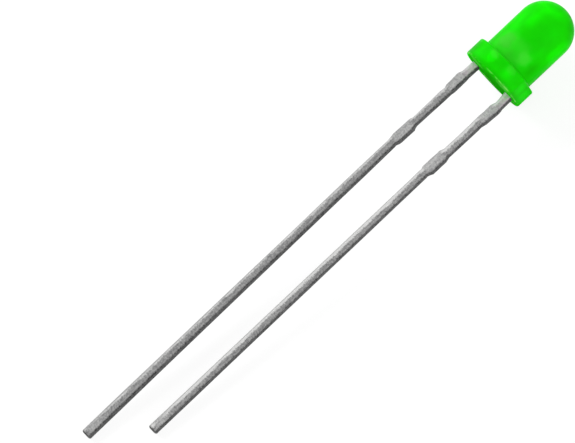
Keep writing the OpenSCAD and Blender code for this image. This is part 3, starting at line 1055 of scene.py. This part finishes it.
# %% Path of the gold wire
WIRE_R = 0.015
BALL_R = 0.04
BOND_T = 0.045
LOOP_STEPS = 40
LOOP_FROM = 0.07
BALL_PROFILE = (
    (0.0, 0.03), (0.006, 0.038), (0.02, BALL_R), (0.034, 0.037), (BOND_T, 0.024),
    (BOND_T + 0.012, 0.017),
)
PINCHED_END = (-0.02, 0.024, 0.022), (0.0, 0.022, 0.021), (0.03, 0.016, 0.014), (0.04, 0.012, 0.006)
wire_end_y = (POST_IN + SHEET_REACH) / 2
start_z, stop_z = chip_high.z + BOND_T / 2, frame_top + BOND_T / 2
wire_peak = wire_top - WIRE_R


def loop_point(t):
    """The loop of the wire, t from 0 at the ball to 1 at the post: y and z."""
    rise = math.sin(math.pi * t**0.6)
    chord = start_z + (stop_z - start_z) * t
    return (wire_end_y * t**1.6, chord + (wire_peak - chord) * rise)


wire_rows = [(0.0, chip_high.z + up, radius) for up, radius in BALL_PROFILE]
for i in range(1, LOOP_STEPS):
    y, z = loop_point(i / LOOP_STEPS)
    if z > chip_high.z + LOOP_FROM or i > LOOP_STEPS / 2:
        wire_rows.append((y, z, WIRE_R))
wire_rows += [(wire_end_y + on, frame_top + up, radius) for on, up, radius in PINCHED_END]
print("wire path:", len(wire_rows), "points")

# %% The gold wire
wire_path = station_mesh(
    "wire_path", [(0.0, y, z) for y, z, _ in wire_rows], thick=[r for _, _, r in wire_rows]
)
gold_wire = set_down("gold_wire", grown("gold_wire", wire_path, wire_tree, gold_drawn), 60)

# %% [markdown]
# ## Tie the pieces to the frame
#
# Each piece rides on the CAD's one body and stands for the CAD node that it replaces, which is
# hidden. The hidden CAD nodes get the same finishes, so that nothing is left plain.

# %% Ride, slot and replace
for piece, node, slot, finish in (
    (epoxy_lens, "lens", "green_epoxy", green_epoxy),
    (cathode_stamping, "cathode_lead", "tinned_steel", tin_plate),
    (anode_stamping, "anode_lead", "tinned_steel", tin_plate),
    (crystal_chip, "led_die", "chip_crystal", chip_crystal),
    (silver_glue, "die_attach", "silver_adhesive", silver_adhesive),
    (gold_wire, "bond_wire", "gold", gold_drawn),
):
    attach(piece, "root")
    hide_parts(node)
    cad_slots = frame["nodes"][node].material_slots
    for cad_slot in cad_slots:
        cad_slot.material = finish
    print("%s stands for %s, with %d slot(s) refinished" % (piece.name, node, len(cad_slots)))

# %% [markdown]
# ## Floor, light and camera
#
# The LED lies on a plain white table in an even, pale room. A mirror image of the room would wash
# out the glossy lens, so the room is darker overhead for rays that see it, and it lights the LED
# at a level of its own. Three broad suns shape the LED: a low one from behind gives the leads
# their bright upper edges, a low one from the front reaches under the lens, and a high one fills.
# None of them is mirrored, because a sun's image would be a hard spot on the metal.


# %% Floor
FLOOR_REACH = 1.2
FLOOR_GREY = (0.21, 0.21, 0.21, 1), (0.23, 0.23, 0.23, 1)
FLOOR_GLOW = 0.835
WHITE = (1, 1, 1, 1)


def seen_rays(tree):
    """1 for camera, glossy and transmission rays, which see the pale backdrop, 0 for others."""
    rays = add(tree, "ShaderNodeLightPath").outputs
    both = maths(tree, "ADD", rays["Is Camera Ray"], rays["Is Glossy Ray"])
    return maths(tree, "ADD", both, rays["Is Transmission Ray"], clamp=True)


floor_corners = [
    (x * FLOOR_REACH, y * FLOOR_REACH, cad_low.z) for x, y in ((-1, -1), (1, -1), (1, 1), (-1, 1))
]
floor_mesh = bpy.data.meshes.new("table_top")
floor_mesh.from_pydata(floor_corners, [], [(0, 1, 2, 3)])
table_top = bpy.data.objects.new("table_top", floor_mesh)
bpy.context.scene.collection.objects.link(table_top)
pale_table = bpy.data.materials.new("pale_table")
pale_table.use_nodes = True
floor_tree = pale_table.node_tree
floor_place = add(floor_tree, "ShaderNodeTexCoord").outputs["Object"]
floor_noise = add(floor_tree, "ShaderNodeTexNoise", {"Vector": floor_place, "Scale": 30.0})
feed(floor_tree, floor_tree.nodes["Principled BSDF"], {
    "Base Color": blend_colours(floor_tree, floor_noise.outputs["Fac"], *FLOOR_GREY),
    "Roughness": 0.9,
    "Specular IOR Level": 0.0,
    "Emission Color": WHITE,
    "Emission Strength": maths(floor_tree, "MULTIPLY", seen_rays(floor_tree), FLOOR_GLOW),
})
floor_mesh.materials.append(pale_table)
print("floor at z = %.5f m" % cad_low.z)

# %% Room
LIGHT_LEVEL = 0.35
HORIZON_LEVEL, OVERHEAD_LEVEL = 1.0, 0.65
world = bpy.data.worlds.new("pale_room")
bpy.context.scene.world = world
world.use_nodes = True
room = world.node_tree
sky_place = add(room, "ShaderNodeTexCoord").outputs["Generated"]
_, _, sky_height = add(room, "ShaderNodeSeparateXYZ", {0: sky_place}).outputs
seen_level = spread(room, sky_height, HORIZON_LEVEL, OVERHEAD_LEVEL, 0.3, 0.75, "SMOOTHSTEP")
room_level = add(room, "ShaderNodeMix", {0: seen_rays(room), 2: LIGHT_LEVEL, 3: seen_level})
feed(room, room.nodes["Background"], {"Color": WHITE, "Strength": room_level.outputs[0]})
print("room: %.2f to light, %.2f to %.2f seen" % (LIGHT_LEVEL, HORIZON_LEVEL, OVERHEAD_LEVEL))


# %% Suns
def from_angles(azimuth, elevation):
    """The direction towards a place on the sky, azimuth 0 in front and 180 behind."""
    a, e = math.radians(azimuth), math.radians(elevation)
    return Vector((math.sin(a) * math.cos(e), -math.cos(a) * math.cos(e), math.sin(e)))


def sun(name, azimuth, elevation, strength, width):
    """A broad sun that shines from a place on the sky and isn't mirrored in any gloss."""
    lamp = bpy.data.lights.new(name, "SUN")
    lamp.energy = strength
    lamp.angle = math.radians(width)
    holder = bpy.data.objects.new(name, lamp)
    bpy.context.scene.collection.objects.link(holder)
    holder.rotation_mode = "QUATERNION"
    holder.rotation_quaternion = from_angles(azimuth, elevation).to_track_quat("Z", "Y")
    holder.visible_glossy = False
    print("%s: azimuth %d, elevation %d, strength %.1f" % (name, azimuth, elevation, strength))


sun("key_sun", 182, 26, 2.8, 38)
sun("front_sun", 0, 8, 1.9, 50)
sun("fill_sun", 0, 50, 0.8, 60)

# %% Camera
FOCAL_LENGTH, SENSOR_WIDTH = 369.08, 36.0
AZIMUTH, ELEVATION, ROLL = -11.365, 58.962, -31.70
DISTANCE = 0.3
AIM_OFFSET = Vector((-1.400, 1.899, -0.445)) * MM
scene = bpy.context.scene
camera_data = bpy.data.cameras.new("camera")
camera_data.lens = FOCAL_LENGTH
camera_data.sensor_width = SENSOR_WIDTH
camera = bpy.data.objects.new("camera", camera_data)
scene.collection.objects.link(camera)
scene.camera = camera
towards_camera = from_angles(AZIMUTH, ELEVATION)
camera.location = (cad_low + cad_high) / 2 + AIM_OFFSET + towards_camera * DISTANCE
camera.rotation_mode = "QUATERNION"
looking_down = (-towards_camera).to_track_quat("-Z", "Y")
camera.rotation_quaternion = looking_down @ Quaternion((0, 0, 1), math.radians(ROLL))
scene.view_settings.view_transform = "Standard"
print("camera at", [round(v, 4) for v in camera.location])
